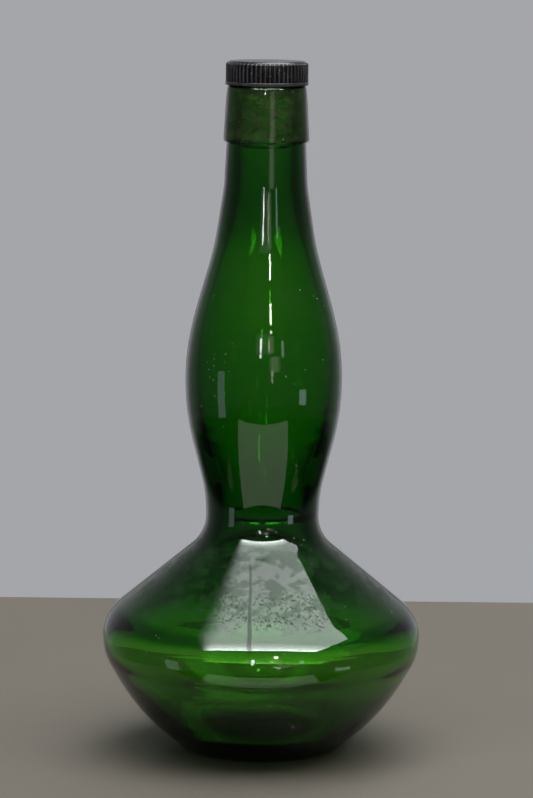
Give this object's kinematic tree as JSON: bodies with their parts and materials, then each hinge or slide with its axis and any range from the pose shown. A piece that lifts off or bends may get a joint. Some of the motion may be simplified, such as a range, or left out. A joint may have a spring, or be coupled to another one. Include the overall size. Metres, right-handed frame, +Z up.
{
  "type": "glass bottle with cork stopper",
  "caption": "Squat-bellied green glass bottle with a waisted, bulbed neck, closed by a ribbed black bar-top stopper on a plain cork that pulls straight out.",
  "frame": {"origin": "centre of the foot, on the plane of the ring that the bottle stands on", "axes": "+Z up along the axis of the bottle, from foot to stopper; +X and +Y are any two square directions across it, with the mould seams of the visual model on the X sides"},
  "size_m": [0.114, 0.114, 0.2473],
  "materials": {
    "green_glass": "deep green, glossy, fire polished, lightly dusty and scuffed at the foot",
    "black_plastic": "black moulded plastic with a low sheen and straight vertical ribs",
    "cork": "natural cork, fine grained, with darker pores",
    "adhesive": "pale amber hot-melt adhesive"
  },
  "bodies": {
    "bottle": {"bottle": "green_glass"},
    "stopper": {"stopper_head": "black_plastic", "cork": "cork", "glue_pad": "adhesive"}
  },
  "joints": [
    {"name": "stopper_pull", "type": "slide", "parent": "bottle", "child": "stopper", "axis": [0, 0, 1], "range_m": [0, 0.04]}
  ]
}
